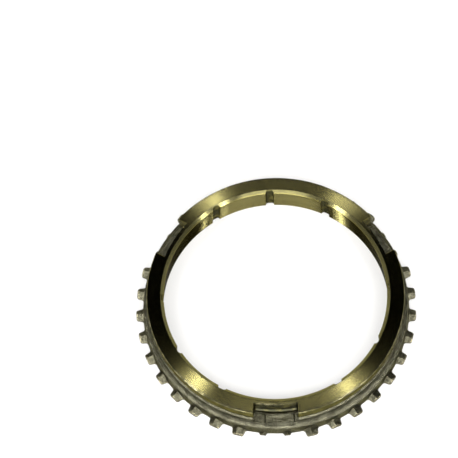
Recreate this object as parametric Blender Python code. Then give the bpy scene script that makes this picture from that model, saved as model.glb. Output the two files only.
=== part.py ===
"""Synchronizer ring of a manual gearbox: one forged brass ring, turned and broached.

It lies on its gear side, the toothed one, with the hub side and its three key slots up.
Lengths are in metres and angles in degrees. +Z is the ring's axis, and one key slot is at -Y.
"""

import math

import bmesh
import bpy
from mathutils import Matrix, Vector

# Friction cone, which widens towards the gear side
RING_HEIGHT = 0.00955
BORE_RADIUS = 0.02862
CONE_HALF_ANGLE = 6.8
MOUTH_CHAMFER = 0.0008
FOOT_CHAMFER = 0.00025

# Hub side: the turned wall outside the cone
HUB_WALL = 0.00443
HUB_CHAMFER = 0.0003

# Turned relief groove, and the lip under it that stands out a little further than the wall
RELIEF_DEPTH = 0.0002
RELIEF_WIDTH = 0.0009
LIP_SLANT = 0.00015
LIP_STEP = 0.0003
LIP_WIDTH = 0.0005

# Forged flange that carries the teeth, with a hollow neck up to the lip and a drafted outer wall
FLANGE_HEIGHT = 0.0032
NECK_HEIGHT = 0.0016
NECK_WIDTH = 0.00095
FLANGE_DRAFT_WIDTH = 0.0006
CREST_SOFTENING = 0.0002
FOOT_STEP = 0.0002
FOOT_STEP_INSET = 0.0019
FLANGE_FOOT_CHAMFER = 0.0002

# Dog teeth, with two chamfers that meet in a ridge on the hub side
TOOTH_PITCHES = 36
TOOTH_LENGTH = 0.00175
TOOTH_ROOT_WIDTH = 0.0034
TOOTH_TAPER = 11.0
TOOTH_ROOT_FILLET = 0.0005
TOOTH_TIP_ROUNDING = 0.0005
TOOTH_LIFT = 0.0001
RIDGE_HEIGHT = 0.00145
RIDGE_SHIFT = 0.0003
RIDGE_FALL = 4.0
FLANK_HEIGHT = 0.00055
EDGE_HEIGHT = 0.0002

# Stubs of the teeth that are cut away in front of each key slot
STUB_LENGTH = 0.0006
STUB_WIDTH = 0.0018
STUB_HEIGHT = 0.0008

# Key slots, open to the hub side and outwards
KEY_SLOTS = 3
SLOT_TURN = 0.5
SLOT_WIDTH = 0.0112
SLOT_RIM = 0.00176
SLOT_FLOOR = 0.004
LEDGE_WIDTH = 0.00035
LEDGE_HEIGHT = 0.0016

# Raised pad of unmachined metal on each slot's floor
PAD_HEIGHT = 0.0004
PAD_BACK_GAP = 0.00077
PAD_LEFT_GAP = 0.003
PAD_RIGHT_GAP = 0.0012
PAD_SIDE_SLOPE = 0.0003
PAD_BROW = 0.001
PAD_SINK = 0.0003

# Oil grooves across the friction cone, between the key slots
GROOVES_PER_SPAN = 3
GROOVE_PITCH = 30.0
GROOVE_SHIFT = 2.5
GROOVE_WIDTH = 0.0022
GROOVE_DEPTH = 0.0007
GROOVE_CORNER = 0.0006

# Fineness of the round surfaces
TURNS = 144
CORNER_STEPS = 3

# Brass
BRASS_COLOUR = (0.50, 0.43, 0.21, 1.0)
BRASS_ROUGHNESS = 0.34

# Heights and radii that follow from the sizes above
OVERCUT = 0.001
EMBED = 0.0006
cone_slope = math.tan(math.radians(CONE_HALF_ANGLE))
mouth_height = RING_HEIGHT - MOUTH_CHAMFER
foot_radius = BORE_RADIUS + mouth_height * cone_slope
hub_radius = BORE_RADIUS + HUB_WALL
lip_radius = hub_radius + LIP_STEP
crest_radius = lip_radius + NECK_WIDTH
flange_radius = crest_radius + FLANGE_DRAFT_WIDTH
lip_foot = FLANGE_HEIGHT + NECK_HEIGHT
lip_top = lip_foot + LIP_WIDTH
relief_top = lip_top + LIP_SLANT + RELIEF_WIDTH
slot_back = BORE_RADIUS + SLOT_RIM
slot_spacing = 360.0 / KEY_SLOTS
tooth_spacing = 360.0 / TOOTH_PITCHES
tooth_foot = FOOT_STEP + TOOTH_LIFT


def clear_scene():
    for thing in list(bpy.data.objects):
        bpy.data.objects.remove(thing, do_unlink=True)


def brass():
    material = bpy.data.materials.new("forged_brass")
    material.use_nodes = True
    shader = material.node_tree.nodes["Principled BSDF"]
    shader.inputs["Base Color"].default_value = BRASS_COLOUR
    shader.inputs["Metallic"].default_value = 1.0
    shader.inputs["Roughness"].default_value = BRASS_ROUGHNESS
    return material


def slot_angles():
    """The directions of the key slots, the first almost towards -Y."""
    return [270.0 + SLOT_TURN + slot_spacing * index for index in range(KEY_SLOTS)]


def from_nearest_slot(angle):
    """How far a direction is from the middle of the nearest key slot, in degrees."""
    return min(abs((angle - slot + 180.0) % 360.0 - 180.0) for slot in slot_angles())


def turned_profile():
    """(radius, height) points of the section, down the outer side and back up the cone."""
    relief_radius = hub_radius - RELIEF_DEPTH
    land_radius = flange_radius - FOOT_STEP_INSET
    return [
        (hub_radius - HUB_CHAMFER, RING_HEIGHT),
        (hub_radius, RING_HEIGHT - HUB_CHAMFER),
        (hub_radius, relief_top),
        (relief_radius, relief_top - RELIEF_DEPTH),
        (relief_radius, lip_top + LIP_SLANT),
        (lip_radius, lip_top),
        (lip_radius, lip_foot),
        *neck_curve(),
        (crest_radius, FLANGE_HEIGHT),
        (crest_radius + CREST_SOFTENING, FLANGE_HEIGHT - CREST_SOFTENING),
        (flange_radius, FOOT_STEP + FLANGE_FOOT_CHAMFER),
        (flange_radius - FLANGE_FOOT_CHAMFER, FOOT_STEP),
        (land_radius + FOOT_STEP, FOOT_STEP),
        (land_radius, 0.0),
        (foot_radius + FOOT_CHAMFER, 0.0),
        (foot_radius - FOOT_CHAMFER * cone_slope, FOOT_CHAMFER),
        (BORE_RADIUS, mouth_height),
        (BORE_RADIUS + MOUTH_CHAMFER, RING_HEIGHT),
    ]


def neck_curve():
    """Points of the hollow curve between the lip's foot and the flange's crest."""
    points = []
    for step in range(1, CORNER_STEPS):
        turned = math.radians(90.0 * step / CORNER_STEPS)
        out = NECK_WIDTH * (1.0 - math.cos(turned))
        points.append((lip_radius + out, lip_foot - NECK_HEIGHT * math.sin(turned)))
    return points


def turned_body():
    """The ring as it leaves the lathe: the section turned a full circle with Screw."""
    points = turned_profile()
    mesh = bpy.data.meshes.new("synchronizer_ring")
    edges = [(index, (index + 1) % len(points)) for index in range(len(points))]
    mesh.from_pydata([(radius, 0.0, height) for radius, height in points], edges, [])
    ring = bpy.data.objects.new("synchronizer_ring", mesh)
    bpy.context.collection.objects.link(ring)
    screw = ring.modifiers.new("turn", "SCREW")
    screw.axis = "Z"
    screw.angle = math.tau
    screw.steps = TURNS
    screw.render_steps = TURNS
    screw.use_merge_vertices = True
    screw.merge_threshold = 1e-6
    return ring


def rounded(before, corner, after, radius):
    """Points of the arc that rounds a corner between two straight sides of an outline."""
    inward = (Vector(before) - Vector(corner)).normalized()
    outward = (Vector(after) - Vector(corner)).normalized()
    half_angle = inward.angle(outward) / 2.0
    centre = Vector(corner) + (inward + outward).normalized() * radius / math.sin(half_angle)
    start = Vector(corner) + inward * radius / math.tan(half_angle) - centre
    sweep = start.angle_signed(Vector(corner) + outward * radius / math.tan(half_angle) - centre)
    arc = []
    for step in range(CORNER_STEPS + 1):
        arc.append(centre + Matrix.Rotation(-sweep * step / CORNER_STEPS, 2) @ start)
    return [tuple(point) for point in arc]


def tooth_outline(length, root_width):
    """One half of a tooth in plan, as (radius, sideways) points from the ridge's root to its tip."""
    inner = crest_radius - EMBED
    root = (flange_radius, root_width / 2.0)
    tip_radius = flange_radius + length
    tip = (tip_radius, root[1] - length * math.tan(math.radians(TOOTH_TAPER)))
    wall = (flange_radius, root_width / 2.0 + 4.0 * TOOTH_ROOT_FILLET)
    fillet = rounded(wall, root, tip, TOOTH_ROOT_FILLET)
    rounding = rounded(root, tip, (tip_radius, 0.0), min(TOOTH_TIP_ROUNDING, length / 2.0))
    return [(inner, 0.0), (inner, fillet[0][1]), *fillet, *rounding, (tip_radius, 0.0)]


def add_tooth(bm, angle, length, root_width, ridge_height, ridge_shift):
    """A closed tooth whose top falls from its ridge to both flanks, and a little to its tip."""
    half = tooth_outline(length, root_width)
    turn = Matrix.Rotation(math.radians(angle), 4, "Z")
    drop = ridge_height - FLANK_HEIGHT * ridge_height / RIDGE_HEIGHT
    tip_fall = math.tan(math.radians(RIDGE_FALL))
    right = [(radius, -sideways) for radius, sideways in half[1:-1]]
    plan = half + list(reversed(right))
    ridge_ends = (0, len(half) - 1)

    def roof(radius, sideways):
        reach = root_width / 2.0 + (ridge_shift if sideways > -ridge_shift else -ridge_shift)
        fall = drop * abs(sideways + ridge_shift) / reach
        beyond = max(radius - flange_radius, 0.0)
        return max(tooth_foot + ridge_height - fall - beyond * tip_fall, tooth_foot + EDGE_HEIGHT)

    low = []
    high = []
    for index, (radius, sideways) in enumerate(plan):
        if index in ridge_ends:
            sideways = -ridge_shift
        low.append(bm.verts.new(turn @ Vector((radius, sideways, tooth_foot))))
        high.append(bm.verts.new(turn @ Vector((radius, sideways, roof(radius, sideways)))))
    count = len(plan)
    for index in range(count):
        after = (index + 1) % count
        bm.faces.new((low[index], low[after], high[after], high[index]))
    bm.faces.new(low)
    bm.faces.new(high[: ridge_ends[1] + 1])
    bm.faces.new(high[ridge_ends[1]:] + high[:1])


def helper(name, bm):
    """An object that only cuts or joins, so it is drawn as wire and never rendered."""
    bmesh.ops.triangulate(bm, faces=[face for face in bm.faces if len(face.verts) > 4])
    bmesh.ops.recalc_face_normals(bm, faces=bm.faces)
    mesh = bpy.data.meshes.new(name)
    bm.to_mesh(mesh)
    bm.free()
    thing = bpy.data.objects.new(name, mesh)
    thing.hide_render = True
    thing.display_type = "WIRE"
    bpy.context.collection.objects.link(thing)
    return thing


def dog_teeth():
    """A tooth half a pitch from each slot's middle line and on round, cut down to a stub at a slot."""
    bm = bmesh.new()
    slot_reach = math.degrees(math.asin(SLOT_WIDTH / 2.0 / hub_radius))
    for index in range(TOOTH_PITCHES):
        angle = 270.0 + tooth_spacing * (index + 0.5)
        if from_nearest_slot(angle) < slot_reach:
            add_tooth(bm, angle, STUB_LENGTH, STUB_WIDTH, STUB_HEIGHT, 0.0)
        else:
            add_tooth(bm, angle, TOOTH_LENGTH, TOOTH_ROOT_WIDTH, RIDGE_HEIGHT, RIDGE_SHIFT)
    return helper("dog_teeth", bm)


def slot_cutters():
    """A cutter for each key slot: parallel end walls, and a curved back wall with a ledge in it."""
    bm = bmesh.new()
    outer = flange_radius + TOOTH_LENGTH + OVERCUT
    half_width = SLOT_WIDTH / 2.0
    steps = 2 * CORNER_STEPS + 2
    ledge = SLOT_FLOOR + LEDGE_HEIGHT
    levels = (
        (slot_back + LEDGE_WIDTH, SLOT_FLOOR),
        (slot_back + LEDGE_WIDTH, ledge - LEDGE_WIDTH / 2.0),
        (slot_back, ledge + LEDGE_WIDTH / 2.0),
        (slot_back, RING_HEIGHT + OVERCUT),
    )
    for angle in slot_angles():
        turn = Matrix.Rotation(math.radians(angle), 4, "Z")
        loops = []
        for back, height in levels:
            half_angle = math.asin(half_width / back)
            plan = [(outer, half_width), (outer, -half_width)]
            for step in range(steps + 1):
                along = half_angle * (2.0 * step / steps - 1.0)
                plan.append((back * math.cos(along), back * math.sin(along)))
            loops.append([bm.verts.new(turn @ Vector((x, y, height))) for x, y in plan])
        bridge(bm, loops)
    return helper("key_slots", bm)


def bridge(bm, loops):
    """A closed body through matching loops of corners, with its two ends capped."""
    bm.faces.new(loops[0])
    bm.faces.new(loops[-1])
    for near, far in zip(loops, loops[1:]):
        for index in range(len(near)):
            after = (index + 1) % len(near)
            bm.faces.new((near[index], near[after], far[after], far[index]))


def slot_pads():
    """The pads that the machining left on the slot floors, falling outwards to the flange's crest."""
    bm = bmesh.new()
    left = SLOT_WIDTH / 2.0 - PAD_LEFT_GAP
    right = PAD_RIGHT_GAP - SLOT_WIDTH / 2.0
    sunk = FLANGE_HEIGHT - EMBED
    top = SLOT_FLOOR + PAD_HEIGHT
    slope = PAD_SIDE_SLOPE / PAD_HEIGHT
    stations = (
        (slot_back + PAD_BACK_GAP, top),
        (crest_radius - PAD_BROW, top),
        (crest_radius, FLANGE_HEIGHT - PAD_SINK),
    )
    for angle in slot_angles():
        turn = Matrix.Rotation(math.radians(angle + 180.0), 4, "Z")
        loops = []
        for radius, height in stations:
            spread = slope * (height - sunk)
            section = ((left, height), (left + spread, sunk), (right - spread, sunk), (right, height))
            loops.append([bm.verts.new(turn @ Vector((-radius, y, z))) for y, z in section])
        bridge(bm, loops)
    return helper("slot_pads", bm)


def groove_angles():
    """The directions of the oil grooves: an equal number between each two key slots."""
    middle = (GROOVES_PER_SPAN - 1) / 2.0
    angles = []
    for slot in slot_angles():
        for index in range(GROOVES_PER_SPAN):
            offset = slot_spacing / 2.0 + GROOVE_PITCH * (index - middle)
            angles.append(slot + offset + GROOVE_SHIFT)
    return angles


def oil_grooves():
    """Round-cornered channels that follow the cone's slope from below its foot to above its mouth."""
    bm = bmesh.new()
    half_width = GROOVE_WIDTH / 2.0
    open_corner = (-OVERCUT, half_width)
    floor_corner = (GROOVE_DEPTH, half_width)
    half = [open_corner, *rounded(open_corner, floor_corner, (GROOVE_DEPTH, 0.0), GROOVE_CORNER)]
    section = half + [(depth, -sideways) for depth, sideways in reversed(half)]
    for angle in groove_angles():
        turn = Matrix.Rotation(math.radians(angle), 4, "Z")
        loops = []
        for height in (-OVERCUT, RING_HEIGHT + OVERCUT):
            wall = BORE_RADIUS + (mouth_height - height) * cone_slope
            loops.append([bm.verts.new(turn @ Vector((wall + x, y, height))) for x, y in section])
        bridge(bm, loops)
    return helper("oil_grooves", bm)


def combine(ring, tool, operation):
    boolean = ring.modifiers.new(tool.name, "BOOLEAN")
    boolean.operation = operation
    boolean.object = tool
    boolean.solver = "EXACT"


def collapse(ring, helpers):
    """Turns the ring and its modifiers into one plain mesh with its real edges kept sharp."""
    bpy.context.view_layer.update()
    graph = bpy.context.evaluated_depsgraph_get()
    mesh = bpy.data.meshes.new_from_object(ring.evaluated_get(graph))
    ring.modifiers.clear()
    ring.data = mesh
    mesh.name = ring.name
    for thing in helpers:
        bpy.data.objects.remove(thing, do_unlink=True)
    bm = bmesh.new()
    bm.from_mesh(mesh)
    bmesh.ops.remove_doubles(bm, verts=bm.verts, dist=2e-6)
    bmesh.ops.dissolve_degenerate(bm, edges=bm.edges, dist=2e-6)
    bm.to_mesh(mesh)
    bm.free()
    mesh.shade_smooth()
    mesh.set_sharp_from_angle(angle=math.radians(20.0))
    return mesh


def main():
    clear_scene()
    ring = turned_body()
    teeth = dog_teeth()
    slots = slot_cutters()
    pads = slot_pads()
    grooves = oil_grooves()
    combine(ring, teeth, "UNION")
    combine(ring, slots, "DIFFERENCE")
    combine(ring, pads, "UNION")
    combine(ring, grooves, "DIFFERENCE")
    mesh = collapse(ring, [teeth, slots, pads, grooves])
    mesh.materials.clear()
    mesh.materials.append(brass())


main()
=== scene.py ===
# %% [markdown]
# # A synchronizer ring in brass
# A synchronizer ring sits between a gear and the hub of a manual gearbox. Its cone rubs on the gear
# until both turn at one speed, and its pointed teeth then let the sleeve slide across. The solid part
# is already made, so this lesson only dresses it: it loads that part and keeps its box, which nothing
# here may outgrow.

# %% Load the solid part
import math

import bpy
from mathutils import Matrix, Vector


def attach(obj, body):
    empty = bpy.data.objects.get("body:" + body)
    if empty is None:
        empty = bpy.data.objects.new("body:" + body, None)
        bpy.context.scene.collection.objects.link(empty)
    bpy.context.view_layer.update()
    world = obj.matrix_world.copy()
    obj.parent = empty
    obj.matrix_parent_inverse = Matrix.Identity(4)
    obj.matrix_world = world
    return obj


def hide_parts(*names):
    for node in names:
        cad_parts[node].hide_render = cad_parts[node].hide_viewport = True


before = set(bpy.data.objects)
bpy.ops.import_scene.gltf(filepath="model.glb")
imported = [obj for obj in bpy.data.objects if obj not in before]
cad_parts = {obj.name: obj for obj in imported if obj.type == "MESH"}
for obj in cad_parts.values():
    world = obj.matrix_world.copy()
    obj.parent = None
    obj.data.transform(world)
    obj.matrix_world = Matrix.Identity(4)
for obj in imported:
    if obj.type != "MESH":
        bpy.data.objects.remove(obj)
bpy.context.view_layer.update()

# %% [markdown]
# ## The camera
# The photograph looks down at the ring from about 64 degrees, with a long lens. The place below was
# worked out from the ring itself: circles of known height look like ellipses, and their shapes and
# places fix the lens, the distance and the small roll of the camera. The camera comes first because
# every later choice, such as how fine a groove must be, is made by looking through it.

# %% Place the camera
MM = 0.001
LENS = 99.85
CAMERA_HEIGHT_ANGLE = 63.634
CAMERA_TURN = -6.9955
CAMERA_ROLL = 6.6152
CAMERA_OFFSET = Vector((12.2367, -20.1368, -334.0076)) * MM


def look_from_the_photograph():
    """A camera whose own axes are turned from the ring's by a turn, a tilt and a roll."""
    height = math.radians(CAMERA_HEIGHT_ANGLE)
    tilt = Matrix((
        (1.0, 0.0, 0.0),
        (0.0, math.sin(height), math.cos(height)),
        (0.0, -math.cos(height), math.sin(height)),
    ))
    turn = Matrix.Rotation(math.radians(CAMERA_TURN), 3, "Z")
    roll = Matrix.Rotation(math.radians(CAMERA_ROLL), 3, "Z")
    back = (roll @ tilt @ turn).transposed()
    camera = bpy.data.objects.new("photo_camera", bpy.data.cameras.new("photo_camera"))
    camera.matrix_world = Matrix.Translation(back @ -CAMERA_OFFSET) @ back.to_4x4()
    camera.data.sensor_width = 36.0
    camera.data.lens = LENS
    camera.data.clip_start = 0.01
    bpy.context.collection.objects.link(camera)
    return camera


camera = look_from_the_photograph()
bpy.context.scene.camera = camera
print("camera", [round(v, 3) for v in camera.location], "m from the ring's middle")

# %% [markdown]
# ## Sizes in millimetres
# These are the sizes of the solid part. A radius is measured from the ring's axis and a height from
# the face that it lies on. The ring repeats every third of a turn, so only one third is ever shaped:
# one key slot, twelve tooth places and three oil grooves. Turns are in degrees, and turn 0 looks
# towards the front of the photograph.

# %% Sizes of the body
COPIES = 3
HALF_THIRD = 180.0 / COPIES
HEIGHT = 9.55
BORE = 28.62  # radius of the cone at its narrow end
MOUTH_CHAMFER = 0.8
MOUTH = HEIGHT - MOUTH_CHAMFER  # height of the cone's narrow end
CONE_SLOPE = math.tan(math.radians(6.8))
HUB = 33.05  # radius of the upper outer wall
LIP = 33.35  # radius of the small lip half way down
LIP_TOP = 5.3
LIP_FOOT = 4.8
CREST = 34.3  # radius of the flange's upper edge
CREST_HEIGHT = 3.2
FLANGE = 34.9  # radius of the flange where the teeth stand on it
FOOT_STEP = 0.2  # height of the flange's underside
LAND = 33.0  # radius of the flat that the ring lies on
print("cone from", round(BORE, 2), "to", round(BORE + MOUTH * CONE_SLOPE, 2), "mm in radius")

# %% [markdown]
# ## The outline of a tooth
# Seen from above, a dog tooth is a short wedge with a rounded tip and small fillets at its root. Its
# top is a roof: two facets that meet in a ridge. A drawn outline could be extruded and cut, but here
# the outline becomes a rule that answers one question: how far out does the tooth reach at this
# distance from its middle line? A rule like that bends round the ring with no joins at all. The teeth
# are a hair shorter than the solid's, so that their raised skin stays inside the part's box.

# %% Round a corner
ARC_STEPS = 3


def rounded(before, corner, after, radius):
    """Points of the arc that rounds a corner between two straight sides."""
    a = (Vector(before) - Vector(corner)).normalized()
    b = (Vector(after) - Vector(corner)).normalized()
    half = a.angle(b) / 2.0
    centre = Vector(corner) + (a + b).normalized() * radius / math.sin(half)
    start = Vector(corner) + a * radius / math.tan(half) - centre
    end = Vector(corner) + b * radius / math.tan(half) - centre
    sweep = start.angle_signed(end)
    turned = [Matrix.Rotation(-sweep * step / ARC_STEPS, 2) @ start for step in range(ARC_STEPS + 1)]
    return [tuple(centre + point) for point in turned]


print("a rounded corner has", len(rounded((0.0, 2.0), (0.0, 0.0), (2.0, 0.0), 0.5)), "points")

# %% Draw a tooth


def tooth_shape(length, root_width, taper, fillet, rounding, ridge, shift, flank):
    """The half outline of one tooth from root to tip, with the sizes of its roof."""
    root = (FLANGE, root_width / 2.0)
    tip = (FLANGE + length, root[1] - length * math.tan(math.radians(taper)))
    outline = rounded((FLANGE, root[1] + 3.0), root, tip, fillet)
    outline += rounded(root, tip, (tip[0], 0.0), rounding)
    return {"outline": outline, "ridge": ridge, "shift": shift, "flank": flank, "reach": root[1]}


def tooth_reach(tooth, sideways):
    """How far out the tooth stands at a distance from its middle line, or 0 beside it."""
    points = tooth["outline"]
    if abs(sideways) >= points[0][1]:
        return 0.0
    for (out_a, side_a), (out_b, side_b) in zip(points, points[1:]):
        if side_b <= abs(sideways) <= side_a and side_a > side_b:
            return out_a + (out_b - out_a) * (side_a - abs(sideways)) / (side_a - side_b)
    return points[-1][0]


DOG_TOOTH = tooth_shape(length=1.715, root_width=3.4, taper=11.0, fillet=0.5, rounding=0.5,
                        ridge=1.45, shift=0.3, flank=0.55)
STUB = tooth_shape(length=0.6, root_width=1.8, taper=11.0, fillet=0.4, rounding=0.25,
                   ridge=0.8, shift=0.0, flank=0.3)
print("a dog tooth reaches", round(tooth_reach(DOG_TOOTH, 0.0), 3), "mm and a stub",
      round(tooth_reach(STUB, 0.0), 3))

# %% Put a roof on it
TOOTH_FOOT = 0.3  # height of a tooth's underside
ROOF_LEAST = 0.2  # a roof is nowhere thinner than this
ROOF_FALL = math.tan(math.radians(4.0))  # the roof falls this much towards the tip
RIDGE_WORN = 0.04  # the ridge is worn down by this much
RIDGE_BAND = 0.12  # and this far on each side of it


def roof_height(tooth, out, sideways):
    """Height of the tooth's roof above the ring's foot."""
    off_ridge = sideways + tooth["shift"]
    reach = tooth["reach"] + math.copysign(tooth["shift"], off_ridge)
    fall = (tooth["ridge"] - tooth["flank"]) * abs(off_ridge) / reach
    beyond = max(out - FLANGE, 0.0) * ROOF_FALL
    soft = RIDGE_WORN * max(0.0, 1.0 - abs(off_ridge) / RIDGE_BAND)
    return TOOTH_FOOT + max(tooth["ridge"] - fall - beyond - soft, ROOF_LEAST)


print("the roof is", round(roof_height(DOG_TOOTH, FLANGE, 0.0), 2), "mm high on a dog tooth and",
      round(roof_height(STUB, FLANGE, 0.0), 2), "mm on a stub")

# %% [markdown]
# ## The section at any turn
# A ring could be turned from one section and then cut. The cuts would leave thin crooked faces, which
# shade badly and can't carry a rough skin. So the section itself changes as it goes round: every
# section has the same number of points, and where a key slot, an oil groove or a tooth comes, the
# points move. Each point also carries marks: skin for metal left as forged, thread for the cone's
# fine thread, edge for the sharp borders that wear bright, and one mark for old oil and painted
# shade. The tables below hold (radius, height, edge mark) from the top face down to the lip.

# %% The outer wall, whole and in a key slot
SLOT_BACK = 30.38  # radius of the upper edge of a slot's back wall
SLOT_FLOOR = 4.0
WALL_FULL = [
    (SLOT_BACK, HEIGHT, 0.0), (30.62, HEIGHT, 0.0), (31.1, HEIGHT, 0.0), (31.6, HEIGHT, 0.0),
    (32.2, HEIGHT, 0.0), (32.9, HEIGHT, 0.4), (HUB, 9.4, 0.6), (HUB, 9.2, 0.0), (HUB, 7.8, 0.0),
    (HUB, 6.75, 0.0), (HUB, 6.3, 0.0), (32.85, 6.15, 0.0), (32.85, 5.8, 0.0), (32.85, 5.45, 0.0),
    (33.28, LIP_TOP, 0.0), (LIP, 5.23, 0.0), (LIP, LIP_FOOT, 0.0),
]
WALL_SLOT = [
    (SLOT_BACK, 9.52, 1.0), (30.4, 9.3, 0.2), (30.4, 8.4, 0.0), (30.4, 7.4, 0.0), (30.4, 6.4, 0.0),
    (30.4, 5.78, 0.0), (30.73, 5.45, 0.0), (30.75, 5.2, 0.0), (30.75, 4.6, 0.0), (30.77, 4.16, 0.0),
    (30.9, SLOT_FLOOR, 0.0), (31.12, SLOT_FLOOR, 0.0), (31.3, SLOT_FLOOR, 0.0),
    (31.8, SLOT_FLOOR, 0.0), (32.4, SLOT_FLOOR, 0.0), (32.95, SLOT_FLOOR, 0.0),
    (33.34, SLOT_FLOOR, 0.0),
]
print(len(WALL_FULL), "wall points in a full section and", len(WALL_SLOT), "in a key slot")

# %% The pad on the slot's floor and the hollow neck
PAD_LEFT = -2.6
PAD_RIGHT = 4.4
PAD_SLOPE = 0.3
PAD_HEIGHT = 0.4
PAD_BROW = 33.3  # the radius where the pad starts to fall towards the flange
PAD_FALL = 1.5


def pad_share(sideways):
    """1 on the raised pad of a slot's floor, 0 beside it and in between on its slopes."""
    left = (sideways - PAD_LEFT) / PAD_SLOPE + 1.0
    right = (PAD_RIGHT - sideways) / PAD_SLOPE + 1.0
    return max(0.0, min(1.0, left, right))


def neck(slot, pad):
    """The hollow neck from the lip down to the flange's crest, cut by the floor of a slot."""
    points = []
    for turned in (18.0, 36.0, 54.0, 72.0, 90.0):
        angle = math.radians(turned)
        out = LIP + (CREST - LIP) * (1.0 - math.cos(angle))
        height = LIP_FOOT - (LIP_FOOT - CREST_HEIGHT) * math.sin(angle)
        if slot:
            slide = SLOT_FLOOR + PAD_HEIGHT - PAD_FALL * max(out - PAD_BROW, 0.0)
            height = max(min(height, SLOT_FLOOR), pad * slide)
        points.append((out, height, 0.5 if turned == 90.0 else 0.0))
    return points


print("the neck falls from", LIP_FOOT, "to", round(neck(False, 0.0)[-1][1], 2), "mm")

# %% [markdown]
# ## The oil grooves
# Grooves run down the cone, so that the thread can push the oil out through them. A cutter leaves
# them with round corners. A boolean cut in Blender would break up the thread's faces, so a groove
# is only a depth that depends on the turn, and every point of the cone moves out by it.

# %% The depth of a groove
GROOVE_TURNS = (-57.0, -27.0, 33.0)
GROOVE_RADIUS = 29.2
GROOVE_HALF = 1.1
GROOVE_DEPTH = 0.7
GROOVE_CORNER = 0.6


def groove_cut(turn):
    """Depth of the oil groove at a turn, in millimetres."""
    side = min(abs(math.sin(math.radians(turn - middle))) * GROOVE_RADIUS for middle in GROOVE_TURNS)
    if side >= GROOVE_HALF:
        return 0.0
    corner = max(side - (GROOVE_HALF - GROOVE_CORNER), 0.0)
    return GROOVE_DEPTH - GROOVE_CORNER + math.sqrt(GROOVE_CORNER ** 2 - corner ** 2)


print("a groove is", round(groove_cut(GROOVE_TURNS[0]), 2), "mm deep")

# %% [markdown]
# ## The toothed edge
# The flange's outer wall leans out a little towards its foot, as a forging must to leave its die, and
# the teeth stand on it. On a tooth the same points that elsewhere make the wall are led out over the
# roof, down the tip and back under the tooth. A separate piece for each tooth would need a join.

# %% Which tooth is near, and the flange's wall
TOOTH_PITCH = 10.0
TOOTH_RADIUS = 35.0  # distances beside a tooth are measured at this radius
WALL_ROUNDING = 0.2


def nearest_tooth(turn):
    """(tooth, sideways distance from its middle line, turn of its middle line)."""
    middle = (math.floor(turn / TOOTH_PITCH) + 0.5) * TOOTH_PITCH
    tooth = STUB if abs(middle) < TOOTH_PITCH else DOG_TOOTH
    return tooth, TOOTH_RADIUS * math.sin(math.radians(turn - middle)), middle


def wall_radius(height):
    """Radius of the flange's drafted outer wall."""
    top = CREST_HEIGHT - WALL_ROUNDING
    share = (top - height) / (top - FOOT_STEP - WALL_ROUNDING)
    return CREST + WALL_ROUNDING + (FLANGE - CREST - WALL_ROUNDING) * max(0.0, min(1.0, share))


print("the flange's wall leans out from", round(wall_radius(CREST_HEIGHT), 2), "to",
      round(wall_radius(FOOT_STEP), 2), "mm")

# %% Points of the edge
WALL_STEPS = (3.0, 2.3, 1.8, 1.4, 1.1, 0.9, 0.8, 0.7, 0.55, 0.42)
ROOF_STEPS = ((0.0, 0.6), (0.3, 0.0), (0.7, 0.0), (1.0, 1.0))  # (share of the way out, edge mark)
TOOTH_BEVEL = 0.09
RIDGE_BRIGHT = 0.1  # the ridge is rubbed bright this far on each side


def edge_foot(out):
    """The rounding at the foot of the flange's wall and the start of its underside."""
    return [(out - 0.06, 0.3, 0.0), (out - 0.2, FOOT_STEP, 0.0)]


def toothed_edge(turn):
    """The flange's outer wall, its tooth and its foot: (out, height, edge mark)."""
    tooth, sideways, _ = nearest_tooth(turn)
    reach = tooth_reach(tooth, sideways)
    if reach == 0.0:
        return [(wall_radius(z), z, 0.0) for z in WALL_STEPS] + edge_foot(FLANGE)
    top = roof_height(tooth, FLANGE, sideways)
    root = math.sqrt(wall_radius(top) ** 2 - sideways ** 2)
    inner = math.sqrt(FLANGE ** 2 - sideways ** 2)
    reach = max(reach, inner + 0.005)
    ridge = max(0.0, 1.0 - abs(sideways + tooth["shift"]) / RIDGE_BRIGHT)
    points = [(wall_radius(z), z, 0.0) for z in (3.0, 2.3, top + 0.12)]
    bevel = min(TOOTH_BEVEL, 0.3 * (reach - root))
    for share, mark in ROOF_STEPS:
        out = root + (reach - bevel - root) * share
        points.append((out, roof_height(tooth, out, sideways), max(mark, 0.6 * ridge)))
    tip_top = max(roof_height(tooth, reach, sideways) - bevel, TOOTH_FOOT + 0.08)
    points += [(reach, tip_top, 1.0), (reach, TOOTH_FOOT + 0.07, 0.0), (reach - 0.05, TOOTH_FOOT, 0.0)]
    return points + edge_foot(inner)


print("the edge has", len(toothed_edge(15.0)), "points on a tooth and", len(toothed_edge(10.0)),
      "beside it")

# %% [markdown]
# ## The thread in the cone
# The friction cone is cut with a fine thread, which scrapes the oil away. It is given its points here,
# three to a turn of thread, and the geometry nodes further down press the valleys in. Making the
# thread that way keeps its pitch and depth as two sizes that are easy to turn.

# %% Points of the cone
THREAD_PITCH = 0.53
THREAD_START = 0.42
THREAD_TURNS = 15
FOOT_CHAMFER = 0.25


def cone_points(cut):
    """Points from the foot of the cone up to its mouth: (radius, height, thread mark)."""
    points = [
        (BORE + MOUTH * CONE_SLOPE + cut + FOOT_CHAMFER, 0.0, 0.0),
        (BORE + (MOUTH - FOOT_CHAMFER) * CONE_SLOPE + cut, FOOT_CHAMFER, 0.0),
    ]
    for number in range(THREAD_TURNS):
        low = THREAD_START + number * THREAD_PITCH
        for share in (0.2, 0.5, 0.8):
            height = low + share * THREAD_PITCH
            points.append((BORE + (MOUTH - height) * CONE_SLOPE + cut, height, 0.0 if cut else 1.0))
    return points + [(BORE + cut, MOUTH, 0.0)]


print("the cone has", len(cone_points(0.0)), "points from foot to mouth")
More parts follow.
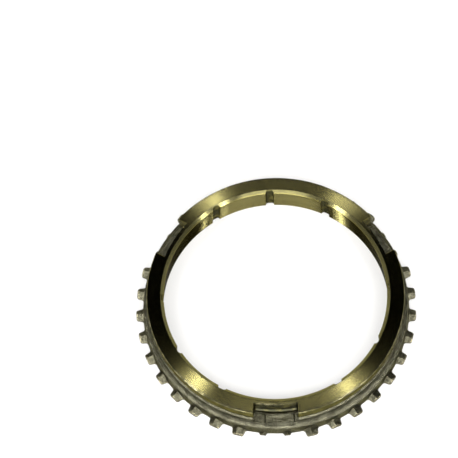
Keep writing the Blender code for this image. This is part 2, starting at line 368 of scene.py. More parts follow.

# %% [markdown]
# ## Straight slots, the forged skin, and oil with painted shade
# A slot is milled with parallel walls, but a line of points at one turn runs along a radius. So near a
# slot the turn is bent a little with the radius, which makes its end walls parallel. The skin mark and
# the mark of oil and painted shade could be painted by hand. As rules of radius and height they fit
# any size of the ring. The second mark is partly old oil and partly painted shade: it darkens the
# slots and the relief groove, and dims the reflections on the outer wall and its top edge.

# %% Bend the turn and set the marks
SLOT_TURN = 0.5
SLOT_HALF = 5.6
SLOT_RADIUS = 32.0  # distances across a slot are measured at this radius
FLOOR_START = 31.2  # further out than this, a slot's wall has become its floor


def turned_aside(turn, radius):
    """A turn in degrees, bent near a key slot so that the slot's end walls are parallel."""
    away = turn - SLOT_TURN
    strength = max(0.0, min(1.0, (16.0 - abs(away)) / 5.0))
    across = SLOT_RADIUS * math.sin(math.radians(away)) / radius
    straight = math.degrees(math.asin(max(-1.0, min(1.0, across))))
    return turn + strength * (straight - away)


def skin_at(radius, height, slot):
    """How much forged skin is left on the wall between the top face and the neck."""
    if slot:
        return 1.0 if radius > FLOOR_START else 0.6 if height < 5.4 else 0.0
    return 0.7 if height < 5.5 else 0.0


def oil_and_shade_at(radius, height, slot):
    """How much old oil and painted shade darkens the wall between the top face and the neck: all of a
    slot, most below the relief, and enough on the wall and its top edge to dim their reflections.
    """
    if slot:
        return 1.0
    if radius < 32.8:
        return 0.0
    return 0.8 if height > 9.1 else 0.6 if height > 6.3 else 1.0


print("skin and dirt on the outer wall at the lip:", skin_at(LIP, LIP_TOP, False),
      oil_and_shade_at(LIP, LIP_TOP, False))

# %% [markdown]
# ## A whole section
# One function now gathers all points at a turn, from the foot of the cone up, over the top face, down
# the outer wall and the teeth, and back along the underside. It is told which part it is in: wall,
# slot, or rim, the broken edge between the two.

# %% All points at one turn
RIM_INSET = 0.05
TOP_INNER = BORE + MOUTH_CHAMFER  # radius where the top face starts
UNDERSIDE = ((34.0, FOOT_STEP, 0.6), (LAND + 0.2, FOOT_STEP, 0.0), (LAND, 0.0, 0.0),
             (32.0, 0.0, 0.0), (30.7, 0.0, 0.0))  # (radius, height, skin mark)


def section(turn, part):
    """All points at a turn: (x, y, z, skin, thread, edge, dirt). The part is wall, rim or slot."""
    slot = part == "slot"
    sideways = SLOT_RADIUS * math.sin(math.radians(turn - SLOT_TURN))
    pad = pad_share(sideways) if slot else 0.0
    cut = groove_cut(turn)
    points = []

    def add(radius, height, skin=0.0, thread=0.0, edge=0.0, oil_and_shade=0.0):
        angle = math.radians(270.0 + turned_aside(turn, radius))
        x, y = radius * math.cos(angle), radius * math.sin(angle)
        points.append((x, y, height, skin, thread, edge, oil_and_shade))

    groove_top = max(MOUTH, HEIGHT - (TOP_INNER - BORE - cut)) if cut else MOUTH
    # The oil grooves and the mouth chamfer get old oil and painted shade: the grooves darker, the
    # chamfer's highlight dimmed.
    for radius, height, mark in cone_points(cut):
        add(radius, min(height, groove_top), thread=mark, oil_and_shade=min(1.0, cut / 0.4))
    half_chamfer = MOUTH_CHAMFER / 2.0
    add(BORE + max(half_chamfer, cut), max(HEIGHT - half_chamfer, groove_top), oil_and_shade=0.5)
    add(TOP_INNER, HEIGHT, oil_and_shade=0.5)
    add(29.9, HEIGHT)
    # The outer wall and the slots get old oil and painted shade from the rule above.
    for radius, height, edge in (WALL_SLOT if slot else WALL_FULL):
        skin = skin_at(radius, height, slot)
        if slot and radius > FLOOR_START:
            height += pad * PAD_HEIGHT
        if part == "rim" and radius > 30.5:
            radius -= RIM_INSET
            height -= RIM_INSET if height > 9.0 else 0.0
            edge = 0.3
        add(radius, height, skin, 0.0, edge, oil_and_shade_at(radius, height, slot))
    for radius, height, edge in neck(slot, pad):
        add(radius, height, 1.0, 0.0, edge)
    tooth, tooth_side, middle = nearest_tooth(turn)
    beside = tooth_reach(tooth, tooth_side) == 0.0
    centre = math.radians(270.0 + middle)
    for out, height, edge in toothed_edge(turn):
        side = tooth_side * out / TOOTH_RADIUS if beside else tooth_side
        along = math.sqrt(out ** 2 - side ** 2) if side != tooth_side or height > 2.2 else out
        x = along * math.cos(centre) - side * math.sin(centre)
        y = along * math.sin(centre) + side * math.cos(centre)
        points.append((x, y, height, 1.0, 0.0, edge, 0.0))
    for radius, height, skin in UNDERSIDE:
        add(radius, height, skin)
    return points


print("a section has", len(section(0.0, "slot")), "points in a slot and",
      len(section(25.0, "wall")), "elsewhere")

# %% [markdown]
# ## Where the sections stand
# Sections could stand at even steps, but they would have to be very many. They stand close together
# only where the shape turns: round a tooth's corners, at the walls of a slot and in the corners of a
# groove. At each end wall of a key slot three sections share one place, a full one, one with its
# edges broken and one of the slot, and the faces between them are the wall.

# %% Turns that the teeth, grooves and slot ask for
HALF_PLACES = 6  # tooth places on each side of a third's middle
GROOVE_SIDES = (1.14, 1.1, 1.06, 0.95, 0.75, 0.5, 0.15)
SLOT_SIDES = (-5.35, -4.9, -2.9, -2.6, 0.0, 2.0, 4.4, 4.7, 5.35)


def turn_of(side, radius):
    """The turn in degrees of a point that stands a distance aside at a radius."""
    return math.degrees(math.asin(side / radius))


def tooth_turns():
    """Turns at the corners, the ridge and the gaps of each tooth place."""
    turns = []
    for number in range(-HALF_PLACES, HALF_PLACES):
        middle = (number + 0.5) * TOOTH_PITCH
        tooth = nearest_tooth(middle)[0]
        sides = [side for _, side in tooth["outline"]] + [tooth["outline"][0][1] + 0.02]
        sides = sides + [-side for side in sides] + [0.45]
        sides += [step - tooth["shift"] for step in (-RIDGE_BAND, 0.0, RIDGE_BAND)]
        turns += [middle + turn_of(side, TOOTH_RADIUS) for side in sides]
        turns += [middle - 5.0, middle - 4.4]
    return turns


def groove_turns():
    """Turns on both sides of each oil groove's middle."""
    steps = [turn_of(side, GROOVE_RADIUS) for side in GROOVE_SIDES]
    return [middle + sign * step for middle in GROOVE_TURNS for step in steps for sign in (-1.0, 1.0)]


slot_turns = [SLOT_TURN + turn_of(side, SLOT_RADIUS) for side in SLOT_SIDES]
print(len(tooth_turns()), "turns for teeth,", len(groove_turns()), "for grooves and",
      len(slot_turns), "for the slot")

# %% Put the turns in order
CLOSEST = 0.05  # degrees: sections nearer than this become one
CLEAR_OF_WALL = 0.12


def stations():
    """(turn, part) of each section of one third, in order."""
    wall = turn_of(SLOT_HALF, SLOT_RADIUS)
    low, high = SLOT_TURN - wall, SLOT_TURN + wall
    kept = []
    for turn in sorted(tooth_turns() + groove_turns() + slot_turns):
        close = kept and turn - kept[-1] < CLOSEST
        if not close and min(abs(turn - low), abs(turn - high)) > CLEAR_OF_WALL:
            kept.append(turn)
    kept = [turn for turn in kept if -HALF_THIRD <= turn < HALF_THIRD - 0.03]
    before = [(turn, "wall") for turn in kept if turn < low]
    inside = [(turn, "slot") for turn in kept if low < turn < high]
    after = [(turn, "wall") for turn in kept if turn > high]
    low_rim = [(low - 0.1, "wall"), (low, "rim"), (low, "slot")]
    high_rim = [(high, "slot"), (high, "rim"), (high + 0.1, "wall")]
    return before + low_rim + inside + high_rim + after + [(HALF_THIRD, "wall")]


third_stations = stations()
print(len(third_stations), "sections make one third of the ring")

# %% [markdown]
# ## One third as a mesh
# The sections are now joined: each point to its neighbour in the same section and in the next.
# Blender's bridge tool could join them two at a time, but faces that are written out keep their
# order, and each point keeps its marks. The marks go along as named attributes, which geometry
# nodes and materials can both read. The two ends stay open until the copies are welded together.

# %% Join the sections


def build_third():
    """Joins the sections of one third with faces that look outwards."""
    rows = [section(turn, part) for turn, part in third_stations]
    count = len(rows[0])
    flat = [point for row in rows for point in row]
    faces = []
    for row in range(len(rows) - 1):
        for column in range(count):
            after = (column + 1) % count
            a, b = row * count + column, row * count + after
            faces.append((a, b, b + count, a + count))
    mesh = bpy.data.meshes.new("third_of_ring")
    mesh.from_pydata([tuple(value * MM for value in point[:3]) for point in flat], [], faces)
    for index, name in enumerate(("skin", "thread", "edge", "oil_and_shade")):
        marks = mesh.attributes.new(name, "FLOAT", "POINT")
        marks.data.foreach_set("value", [point[3 + index] for point in flat])
    mesh.validate()
    return mesh


third = build_third()
print("one third has", len(third.vertices), "points and", len(third.polygons), "faces")

# %% [markdown]
# ## Small helpers for node trees
# Geometry nodes and shader nodes are built the same way here: a node is made, its sockets are set or
# linked, and the tree grows from left to right. Two helpers keep each step to one line.

# %% Node helpers


def add_node(tree, kind, values=None, **settings):
    """Makes a node, sets its properties, and sets or links its input sockets."""
    node = tree.nodes.new(kind)
    for name, value in settings.items():
        setattr(node, name, value)
    for key, value in (values or {}).items():
        socket = node.inputs[key]
        if isinstance(value, bpy.types.NodeSocket):
            tree.links.new(value, socket)
        else:
            socket.default_value = value
    return node


def maths(tree, operation, a, b=None):
    """One step of arithmetic, as a node."""
    values = {0: a} if b is None else {0: a, 1: b}
    return add_node(tree, "ShaderNodeMath", values, operation=operation).outputs[0]


print("helpers for any tree: add_node and maths")

# %% [markdown]
# ## The ring's geometry nodes
# The tree takes one third, sets copies of it round the axis and welds them into one closed ring. It
# then presses the thread into the cone, lifts and sinks the forged skin with noise, and nicks the
# edges, each by moving points that carry the right mark. All sizes are inputs with names, and the
# noise has a fixed seed, so the ring comes out the same every time.

# %% The tree's inputs, in metres
RING_INPUTS = (
    ("Copies", "NodeSocketInt", COPIES),
    ("Weld Distance", "NodeSocketFloat", 0.000002),
    ("Thread Start", "NodeSocketFloat", THREAD_START * MM),
    ("Thread Pitch", "NodeSocketFloat", THREAD_PITCH * MM),
    ("Thread Depth", "NodeSocketFloat", 0.00026),
    ("Skin Height", "NodeSocketFloat", 0.00016),
    ("Skin Grain", "NodeSocketFloat", 0.0007),
    ("Nick Depth", "NodeSocketFloat", 0.00009),
    ("Seed", "NodeSocketFloat", 3.7),
)
print("the tree takes", [label for label, _, _ in RING_INPUTS])

# %% Steps that move points


def named(tree, name):
    """The value of a point mark inside a tree."""
    values = {"Name": name}
    return add_node(tree, "GeometryNodeInputNamedAttribute", values, data_type="FLOAT").outputs[0]


def moved(tree, geometry, direction, amount):
    """Moves points along a direction by an amount."""
    values = {0: direction, "Scale": amount}
    offset = add_node(tree, "ShaderNodeVectorMath", values, operation="SCALE").outputs[0]
    values = {"Geometry": geometry, "Offset": offset}
    return add_node(tree, "GeometryNodeSetPosition", values).outputs[0]


def noise_at(tree, scale, seed, detail):
    """Noise of about -0.5 to 0.5 at each point."""
    place = add_node(tree, "GeometryNodeInputPosition").outputs[0]
    shifted = add_node(tree, "ShaderNodeVectorMath", {0: place, 1: seed}, operation="ADD").outputs[0]
    values = {"Vector": shifted, "Scale": scale, "Detail": detail}
    return maths(tree, "SUBTRACT", add_node(tree, "ShaderNodeTexNoise", values).outputs[0], 0.5)


print("helpers inside the tree: named, moved and noise_at")

# %% Copy the third, press the thread
VALLEY_STEEPNESS = 3.4


def whole_ring(tree, source):
    """Copies of one third round the axis, welded into one closed ring."""
    values = {"Count": source["Copies"], "Offset": (0.0, 0.0, 0.0)}
    stands = add_node(tree, "GeometryNodeMeshLine", values).outputs[0]
    index = add_node(tree, "GeometryNodeInputIndex").outputs[0]
    step = maths(tree, "DIVIDE", math.tau, source["Copies"])
    turn = add_node(tree, "ShaderNodeCombineXYZ", {"Z": maths(tree, "MULTIPLY", index, step)}).outputs[0]
    values = {"Points": stands, "Instance": source["Geometry"], "Rotation": turn}
    copies = add_node(tree, "GeometryNodeInstanceOnPoints", values).outputs[0]
    solid = add_node(tree, "GeometryNodeRealizeInstances", {"Geometry": copies}).outputs[0]
    values = {"Geometry": solid, "Distance": source["Weld Distance"]}
    return add_node(tree, "GeometryNodeMergeByDistance", values).outputs[0]


def with_thread(tree, solid, source):
    """Presses the valleys of the thread outwards into the cone."""
    place = add_node(tree, "GeometryNodeInputPosition").outputs[0]
    parts = add_node(tree, "ShaderNodeSeparateXYZ", {0: place}).outputs
    above = maths(tree, "SUBTRACT", parts["Z"], source["Thread Start"])
    level = maths(tree, "DIVIDE", above, source["Thread Pitch"])
    off_valley = maths(tree, "ABSOLUTE", maths(tree, "SUBTRACT", maths(tree, "FRACT", level), 0.5))
    valley = maths(tree, "SUBTRACT", 1.0, maths(tree, "MULTIPLY", off_valley, VALLEY_STEEPNESS))
    depth = maths(tree, "MULTIPLY", named(tree, "thread"), source["Thread Depth"])
    flat = add_node(tree, "ShaderNodeCombineXYZ", {"X": parts["X"], "Y": parts["Y"]}).outputs[0]
    outward = add_node(tree, "ShaderNodeVectorMath", {0: flat}, operation="NORMALIZE").outputs[0]
    amount = maths(tree, "MULTIPLY", maths(tree, "MAXIMUM", valley, 0.0), depth)
    return moved(tree, solid, outward, amount)


print("first steps: whole_ring and with_thread")

# %% Raise the skin, nick the edges, set the finishes
NICKS_FINER = 1.7  # the nicks' noise is this much finer than the skin's
SHARP_ANGLE = 28.0  # degrees: edges sharper than this stay crisp
FORGED_FROM = 0.45  # a face with more skin than this gets the forged finish


def with_skin(tree, solid, source):
    """Lifts and sinks the forged skin with noise and nicks the edges."""
    normal = add_node(tree, "GeometryNodeInputNormal").outputs[0]
    values = {"X": source["Seed"], "Y": source["Seed"], "Z": 0.0}
    seed = add_node(tree, "ShaderNodeCombineXYZ", values).outputs[0]
    scale = maths(tree, "DIVIDE", 1.0, source["Skin Grain"])
    skin = maths(tree, "MULTIPLY", named(tree, "skin"), source["Skin Height"])
    solid = moved(tree, solid, normal, maths(tree, "MULTIPLY", noise_at(tree, scale, seed, 2.0), skin))
    finer = maths(tree, "MULTIPLY", scale, NICKS_FINER)
    dents = maths(tree, "MINIMUM", noise_at(tree, finer, seed, 1.0), 0.0)
    nick = maths(tree, "MULTIPLY", named(tree, "edge"), source["Nick Depth"])
    return moved(tree, solid, normal, maths(tree, "MULTIPLY", dents, nick))


def with_finishes(tree, solid, finishes):
    """Smooths the shading over blunt edges and sets the turned and the forged finish."""
    angle = add_node(tree, "GeometryNodeInputMeshEdgeAngle").outputs[0]
    blunt = maths(tree, "LESS_THAN", angle, math.radians(SHARP_ANGLE))
    values = {"Geometry": solid, "Shade Smooth": blunt}
    solid = add_node(tree, "GeometryNodeSetShadeSmooth", values, domain="EDGE").outputs[0]
    values = {"Geometry": solid, "Material": finishes[0]}
    solid = add_node(tree, "GeometryNodeSetMaterial", values).outputs[0]
    forged = maths(tree, "GREATER_THAN", named(tree, "skin"), FORGED_FROM)
    values = {"Geometry": solid, "Selection": forged, "Material": finishes[1]}
    return add_node(tree, "GeometryNodeSetMaterial", values).outputs[0]


print("last steps: with_skin and with_finishes")

# %% The whole tree


def ring_tree(finishes):
    """The tree that turns one third into the whole ring."""
    tree = bpy.data.node_groups.new("ring_from_thirds", "GeometryNodeTree")
    for direction in ("INPUT", "OUTPUT"):
        tree.interface.new_socket("Geometry", in_out=direction, socket_type="NodeSocketGeometry")
    for label, kind, value in RING_INPUTS:
        tree.interface.new_socket(label, in_out="INPUT", socket_type=kind).default_value = value
    source = add_node(tree, "NodeGroupInput").outputs
    solid = whole_ring(tree, source)
    solid = with_thread(tree, solid, source)
    solid = with_skin(tree, solid, source)
    add_node(tree, "NodeGroupOutput", {"Geometry": with_finishes(tree, solid, finishes)})
    return tree


print("the tree has", len(RING_INPUTS), "inputs beside the third itself")

# %% [markdown]
# ## Turned brass
# A lathe leaves rings finer than the eye can part. They spread a reflection across themselves and
# not along, which is why a turned face shows bright and black sectors like a record. The Principled
# shader's anisotropy does exactly that once its tangent runs round the axis. Noise stretched along
# the rings adds the lines that can be seen, and softer noise the brown bloom of old brass. The marks
# on the mesh add the rest. The cone, rubbed by the gear, is a darker olive and a trace paler on the
# thread's flanks; its dark tone is partly painted shade of the bore. Old oil and painted shade darken
# the outer wall, the slots, the mouth chamfer and the oil grooves, and worn edges are pale. The
# specular tint is dark, because old brass has no white glare where it is seen at a slant.

# %% Helpers for finishes


def new_finish(name, values):
    """A material with one Principled shader, whose even values are set on its own sockets."""
    material = bpy.data.materials.new(name)
    material.use_nodes = True
    shader = material.node_tree.nodes["Principled BSDF"]
    for socket, value in values.items():
        shader.inputs[socket].default_value = value
    return material, material.node_tree, shader


def mark(tree, name):
    """The value of one of the mesh's marks inside a material."""
    return add_node(tree, "ShaderNodeAttribute", attribute_name=name).outputs["Fac"]


def shade_noise(tree, vector, scale, detail, low, high):
    """Noise between 0 and 1 with its contrast stretched between low and high."""
    values = {"Vector": vector, "Scale": scale, "Detail": detail}
    cloud = add_node(tree, "ShaderNodeTexNoise", values).outputs[0]
    return add_node(tree, "ShaderNodeMapRange", {0: cloud, 1: low, 2: high}).outputs[0]


def mixed(tree, share, first, second):
    """A colour between two colours. The mix node keeps its colours on sockets 6 and 7."""
    values = {0: share, 6: first, 7: second}
    return add_node(tree, "ShaderNodeMix", values, data_type="RGBA").outputs[2]


print("helpers for finishes: new_finish, mark, shade_noise and mixed")

# %% Directions on a turned face


def round_the_axis(tree):
    """(place, distance from the axis, height, direction round the axis) at the shaded point."""
    place = add_node(tree, "ShaderNodeTexCoord").outputs["Object"]
    parts = add_node(tree, "ShaderNodeSeparateXYZ", {0: place}).outputs
    flat = add_node(tree, "ShaderNodeCombineXYZ", {"X": parts["X"], "Y": parts["Y"]}).outputs[0]
    radius = add_node(tree, "ShaderNodeVectorMath", {0: flat}, operation="LENGTH").outputs["Value"]
    values = {0: (0.0, 0.0, 1.0), 1: flat}
    around = add_node(tree, "ShaderNodeVectorMath", values, operation="CROSS_PRODUCT").outputs[0]
    around = add_node(tree, "ShaderNodeVectorMath", {0: around}, operation="NORMALIZE").outputs[0]
    return place, radius, parts["Z"], around


print("helper for both metals: round_the_axis")

# %% Colours of the turned metal
BRASS = (0.38, 0.345, 0.14, 1.0)
BRASS_BLOOM = (0.30, 0.27, 0.10, 1.0)
BRASS_PALE = (0.66, 0.61, 0.36, 1.0)
# The cone's two colours are far darker than the brass: partly the gear's rubbing and oil, partly painted
# shade of the bore.
CONE_FLANK = (0.112, 0.101, 0.040, 1.0)
CONE_RUBBED_AND_SHADE = (0.11, 0.10, 0.04, 1.0)
STAIN = (0.05, 0.045, 0.02, 1.0)
# Old oil and painted shade: darkens slots and grooves and dims reflections on the outer wall and
# chamfers.
OIL_AND_SHADE = (0.095, 0.094, 0.058, 1.0)
FLANK_MIDDLE = 0.35  # where the flank lies in one turn of the thread, as a share
FLANK_HALF = 0.16
PIT_SIZE = 0.045


def turned_colour(tree, place, height, bloom, grain):
    """Brass with its bloom, the rubbed cone with painted shade, old oil with painted shade, worn edges
    and a few pits.
    """
    colour = mixed(tree, maths(tree, "MULTIPLY", bloom, 0.5), BRASS, BRASS_BLOOM)
    colour = mixed(tree, maths(tree, "MULTIPLY", grain, 0.2), colour, BRASS_BLOOM)
    above = maths(tree, "SUBTRACT", height, THREAD_START * MM)
    level = maths(tree, "FRACT", maths(tree, "DIVIDE", above, THREAD_PITCH * MM))
    off_flank = maths(tree, "ABSOLUTE", maths(tree, "SUBTRACT", level, FLANK_MIDDLE))
    flank = maths(tree, "LESS_THAN", off_flank, FLANK_HALF)
    # The cone takes its dark olive here, partly painted shade of the bore.
    colour = mixed(tree, mark(tree, "thread"), colour, mixed(tree, flank, CONE_RUBBED_AND_SHADE, CONE_FLANK))
    patches = shade_noise(tree, place, scale=500.0, detail=4.0, low=0.1, high=0.5)
    # Patches of old oil and painted shade.
    colour = mixed(tree, maths(tree, "MULTIPLY", mark(tree, "oil_and_shade"), patches), colour, OIL_AND_SHADE)
    rubs = shade_noise(tree, place, scale=800.0, detail=2.0, low=0.48, high=0.62)
    colour = mixed(tree, maths(tree, "MULTIPLY", mark(tree, "edge"), rubs), colour, BRASS_PALE)
    spots = add_node(tree, "ShaderNodeTexVoronoi", {"Vector": place, "Scale": 260.0}, feature="F1")
    pit = maths(tree, "LESS_THAN", spots.outputs["Distance"], PIT_SIZE)
    return mixed(tree, pit, colour, STAIN)


print("brass is", BRASS[:3], "and the thread's flanks are", CONE_FLANK[:3])

# %% The turned finish
GRAZING = (0.20, 0.187, 0.105, 1.0)
TURNED_ROUGHNESS = 0.21
ROUGHER_BY_GRAIN = 0.012
ROUGHER_BY_BLOOM = 0.03
SMOOTHER_ON_CONE = 0.05
GRAIN_RELIEF = 0.014


def turned_brass():
    """Brass from the lathe: anisotropic round the axis, with fine lines, bloom and wear."""
    material, tree, shader = new_finish("turned_brass", {
        "Metallic": 1.0, "Specular Tint": GRAZING, "Anisotropic": 1.0, "Anisotropic Rotation": 0.25})
    place, radius, height, around = round_the_axis(tree)
    rings = add_node(tree, "ShaderNodeCombineXYZ", {"X": radius, "Y": height}).outputs[0]
    lines = shade_noise(tree, rings, scale=3500.0, detail=3.0, low=0.3, high=0.7)
    bloom = shade_noise(tree, place, scale=140.0, detail=4.0, low=0.35, high=0.65)
    grain = shade_noise(tree, place, scale=2600.0, detail=2.0, low=0.3, high=0.7)
    tree.links.new(turned_colour(tree, place, height, bloom, grain), shader.inputs["Base Color"])
    rough = maths(tree, "ADD", maths(tree, "MULTIPLY", grain, ROUGHER_BY_GRAIN),
                  maths(tree, "MULTIPLY", bloom, ROUGHER_BY_BLOOM))
    smoother = maths(tree, "MULTIPLY", mark(tree, "thread"), SMOOTHER_ON_CONE)
    rough = maths(tree, "SUBTRACT", rough, smoother)
    tree.links.new(maths(tree, "ADD", rough, TURNED_ROUGHNESS), shader.inputs["Roughness"])
    tree.links.new(around, shader.inputs["Tangent"])
    relief = maths(tree, "ADD", lines, maths(tree, "MULTIPLY", grain, GRAIN_RELIEF))
    bump = add_node(tree, "ShaderNodeBump", {"Height": relief, "Strength": 0.2, "Distance": 0.00002})
    tree.links.new(bump.outputs[0], shader.inputs["Normal"])
    return material


turned = turned_brass()
print(turned.name, "has", len(turned.node_tree.nodes), "nodes")

# %% [markdown]
# ## Forged skin
# The flange and the teeth keep the skin of the forging: grey brown, dull, a little grainy, and
# rubbed bright along every edge. An even grey would look like paint. Noise mottles the colour, and a
# second noise that is stretched along the ring draws the scuffs that the sleeve left. The edge mark
# that the mesh carries lets the bare brass through.

# %% The forged finish
SKIN_DARK = (0.040, 0.038, 0.026, 1.0)
SKIN_PALE = (0.185, 0.180, 0.125, 1.0)
SKIN_WORN = (0.34, 0.315, 0.21, 1.0)
SKIN_GRAZING = (0.31, 0.30, 0.24, 1.0)
SKIN_ROUGHNESS = 0.29
SMOOTHER_WHERE_WORN = 0.06
STREAK_STRETCH = 0.006  # a radian round the ring, 34 mm of arc, counts as 6 mm in the noise


def forged_skin():
    """The forging's own skin: mottled, streaked, grainy and rubbed along its edges."""
    material, tree, shader = new_finish("forged_skin", {"Metallic": 1.0, "Specular Tint": SKIN_GRAZING})
    place, radius, height, _ = round_the_axis(tree)
    parts = add_node(tree, "ShaderNodeSeparateXYZ", {0: place}).outputs
    angle = maths(tree, "ARCTAN2", parts["Y"], parts["X"])
    values = {"X": maths(tree, "MULTIPLY", angle, STREAK_STRETCH), "Y": radius, "Z": height}
    along = add_node(tree, "ShaderNodeCombineXYZ", values).outputs[0]
    streaks = shade_noise(tree, along, scale=2600.0, detail=3.0, low=0.35, high=0.65)
    mottle = shade_noise(tree, place, scale=520.0, detail=5.0, low=0.32, high=0.68)
    streaked = maths(tree, "ADD", 0.45, maths(tree, "MULTIPLY", streaks, 0.9))
    grain = shade_noise(tree, place, scale=2400.0, detail=3.0, low=0.3, high=0.7)
    colour = mixed(tree, maths(tree, "MULTIPLY", mottle, streaked), SKIN_DARK, SKIN_PALE)
    colour = mixed(tree, maths(tree, "MULTIPLY", grain, 0.4), colour, SKIN_PALE)
    rubs = shade_noise(tree, place, scale=900.0, detail=2.0, low=0.35, high=0.6)
    worn = maths(tree, "MULTIPLY", maths(tree, "POWER", mark(tree, "edge"), 2.0), rubs)
    tree.links.new(mixed(tree, worn, colour, SKIN_WORN), shader.inputs["Base Color"])
    smoother = maths(tree, "MULTIPLY", worn, SMOOTHER_WHERE_WORN)
    tree.links.new(maths(tree, "SUBTRACT", SKIN_ROUGHNESS, smoother), shader.inputs["Roughness"])
    relief = maths(tree, "ADD", grain, maths(tree, "MULTIPLY", streaks, 0.6))
    bump = add_node(tree, "ShaderNodeBump", {"Height": relief, "Strength": 0.9, "Distance": 0.00009})
    tree.links.new(bump.outputs[0], shader.inputs["Normal"])
    return material


forged = forged_skin()
print(forged.name, "has", len(forged.node_tree.nodes), "nodes")

# %% [markdown]
# ## The ring
# The third is handed to the tree as a modifier, each size is set by its socket's identifier, and the
# result is taken as a plain mesh. The modifier could stay live, but a plain mesh is what an export
# and a collision model can read. After that the piece rides on the part's body in place of the solid,
# which stays behind for collisions.

# %% Make the ring


def make_ring():
    """The whole ring as a plain mesh, made from one third by the tree."""
    ring = bpy.data.objects.new("brass_ring", third)
    bpy.context.collection.objects.link(ring)
    tree = ring_tree((turned, forged))
    modifier = ring.modifiers.new("ring_from_thirds", "NODES")
    modifier.node_group = tree
    sizes = {label: value for label, _, value in RING_INPUTS}
    for socket in tree.interface.items_tree:
        if socket.in_out == "INPUT" and socket.name in sizes:
            modifier[socket.identifier] = sizes[socket.name]
    bpy.context.view_layer.update()
    shaped = ring.evaluated_get(bpy.context.evaluated_depsgraph_get())
    whole = bpy.data.meshes.new_from_object(shaped)
    ring.modifiers.clear()
    ring.data = whole
    whole.name = "brass_ring"
    return ring


ring = make_ring()
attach(ring, "root")
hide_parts("synchronizer_ring")
print("the ring has", len(ring.data.polygons), "faces")

# %% [markdown]
# ## The floor
# The photograph has a white ground. Here that ground is a pale floor whose rim bends up all round, as
# in a photographer's cove, so no view looks past it. It is lit by the lamps like anything else, and so
# it keeps the ring's shadow. More light would whiten it too, but would bleach the brass. So a glow
# lifts it to white instead, seen by the camera and in reflections alike. Far out, where the lamps no
# longer reach, the glow is stronger.

# %% The floor's finish
FLOOR_GREY = (0.52, 0.52, 0.52, 1.0)
NEAR_GLOW = 0.4
FAR_GLOW = 0.95
NEAR = 0.15  # metres from the ring's middle where the glow starts to grow
FAR = 0.7


def white_floor():
    """Dull grey under the lamps, with a glow that only views and reflections see."""
    material, tree, shader = new_finish("white_floor", {
        "Base Color": FLOOR_GREY, "Roughness": 1.0, "Specular IOR Level": 0.0})
    path = add_node(tree, "ShaderNodeLightPath").outputs
    seen = maths(tree, "MAXIMUM", path["Is Camera Ray"], path["Is Glossy Ray"])
    seen = maths(tree, "MAXIMUM", seen, path["Is Transmission Ray"])
    place = add_node(tree, "ShaderNodeTexCoord").outputs["Object"]
    reach = add_node(tree, "ShaderNodeVectorMath", {0: place}, operation="LENGTH").outputs["Value"]
    values = {0: reach, 1: NEAR, 2: FAR, 3: NEAR_GLOW, 4: FAR_GLOW}
    level = add_node(tree, "ShaderNodeMapRange", values).outputs[0]
    values = {"Color": (1.0, 1.0, 1.0, 1.0), "Strength": maths(tree, "MULTIPLY", seen, level)}
    glow = add_node(tree, "ShaderNodeEmission", values).outputs[0]
    both = add_node(tree, "ShaderNodeAddShader", {0: shader.outputs[0], 1: glow}).outputs[0]
    tree.links.new(both, tree.nodes["Material Output"].inputs["Surface"])
    return material


floor_finish = white_floor()
print(floor_finish.name, "glows with", NEAR_GLOW, "near the ring and", FAR_GLOW, "far out")

# %% The floor
COVE = ((0.3, 0.0), (1.2, 0.0), (1.35, 0.03), (1.45, 0.1), (1.5, 0.2), (1.5, 0.32))
COVE_SIDES = 64
FLOOR_DROP = 0.00003  # keeps the floor just below the face that the ring lies on


def make_floor():
    """A flat disc with a rim that bends up, turned from one profile."""
    corners, faces = [], [tuple(range(COVE_SIDES))]
    for reach, height in COVE:
        for side in range(COVE_SIDES):
            angle = math.tau * side / COVE_SIDES
            corners.append((reach * math.cos(angle), reach * math.sin(angle), height - FLOOR_DROP))
    for row in range(len(COVE) - 1):
        for side in range(COVE_SIDES):
            after = (side + 1) % COVE_SIDES
            a, b = row * COVE_SIDES + side, row * COVE_SIDES + after
            faces.append((a, a + COVE_SIDES, b + COVE_SIDES, b))
    mesh = bpy.data.meshes.new("studio_floor")
    mesh.from_pydata(corners, [], faces)
    mesh.materials.append(floor_finish)
    floor = bpy.data.objects.new("studio_floor", mesh)
    bpy.context.collection.objects.link(floor)
    return floor


floor = make_floor()
print("the floor is", 2 * COVE[-1][0], "m across")

# %% [markdown]
# ## Why narrow lamps
# One big soft lamp would wash the whole turned face in one tone. On such a face a lamp shows only
# where its direction and the camera's, added together, point along the radius, so each lamp lights
# two opposite sectors. The pale sectors of the photograph lie near 233 and 53 degrees and near 304
# and 124 degrees. So there are two strip lamps, each laid along its own radius: narrow across it,
# which keeps the sector narrow, and long along it, which keeps shadows soft. The far side mirrors
# what stands behind the ring, so two short strips there brighten the far sectors. Three small lamps
# in front, about 35 degrees up, stand where the flanks of the thread face, and they make the bright
# patches at the back of the cone. A wide box in front gives the olive between the sectors and a low
# one the front of the flange. Nothing stands at the sides, so those sectors mirror the dark studio
# and turn black.

# %% The dark room
AMBIENT = 0.35


def dark_room():
    """A world that mirrors black but lends dull surfaces a little light."""
    world = bpy.data.worlds.new("studio")
    world.use_nodes = True
    tree = world.node_tree
    background = tree.nodes["Background"].inputs
    path = add_node(tree, "ShaderNodeLightPath").outputs
    tree.links.new(maths(tree, "MULTIPLY", path["Is Diffuse Ray"], AMBIENT), background["Strength"])
    background["Color"].default_value = (1.0, 1.0, 1.0, 1.0)
    return world


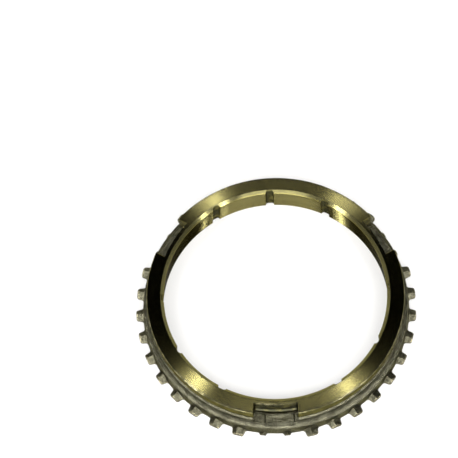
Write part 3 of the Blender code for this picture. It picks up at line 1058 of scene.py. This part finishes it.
bpy.context.scene.world = dark_room()
bpy.context.scene.view_settings.view_transform = "Standard"
print("the room lends", AMBIENT, "of white to dull surfaces")

# %% The lamps
LAMPS = (  # name, place in metres, (tilt, lean, turn) in degrees, size in metres, power in watts
    ("left_strip", (-0.283, -0.126, 0.5), (0.0, 0.0, 230.0), (0.46, 0.020), 1.05),
    ("right_strip", (0.232, -0.136, 0.5), (0.0, 0.0, 305.0), (0.42, 0.024), 0.85),
    ("front_box", (0.0, -0.25, 0.5), (0.0, 0.0, 0.0), (0.46, 0.16), 2.0),
    ("low_box", (0.0, -0.53, 0.27), (63.0, 0.0, 0.0), (0.50, 0.12), 1.2),
    ("far_left_strip", (-0.122, 0.416, 0.455), (9.8, 41.2, 120.0), (0.2, 0.02), 0.15),
    ("far_right_strip", (0.109, 0.426, 0.45), (-11.5, 41.5, 60.0), (0.2, 0.02), 0.12),
    ("cone_right_box", (-0.380, -0.281, 0.336), (0.0, 56.6, 217.5), (0.12, 0.08), 0.95),
    ("cone_left_box", (0.297, -0.352, 0.351), (0.0, 54.8, 309.4), (0.12, 0.04), 0.6),
    ("cone_left_strip", (0.403, -0.248, 0.336), (0.0, 56.5, 327.4), (0.12, 0.022), 0.6),
)
LAMP_COLOUR = (1.0, 0.985, 0.955)


def hang_lamp(name, place, angles, size, power):
    """A flat lamp that lights the ring but isn't seen itself, except in reflections."""
    lamp = bpy.data.lights.new(name, "AREA")
    lamp.shape = "RECTANGLE"
    lamp.size, lamp.size_y = size
    lamp.energy = power
    lamp.color = LAMP_COLOUR
    stand = bpy.data.objects.new(name, lamp)
    stand.visible_camera = False
    tilt, lean, turn = (math.radians(angle) for angle in angles)
    turned = Matrix.Rotation(turn, 4, "Z") @ Matrix.Rotation(lean, 4, "Y")
    stand.matrix_world = Matrix.Translation(place) @ (turned @ Matrix.Rotation(tilt, 4, "X"))
    bpy.context.collection.objects.link(stand)


for lamp_row in LAMPS:
    hang_lamp(*lamp_row)
print("lamps:", [row[0] for row in LAMPS])
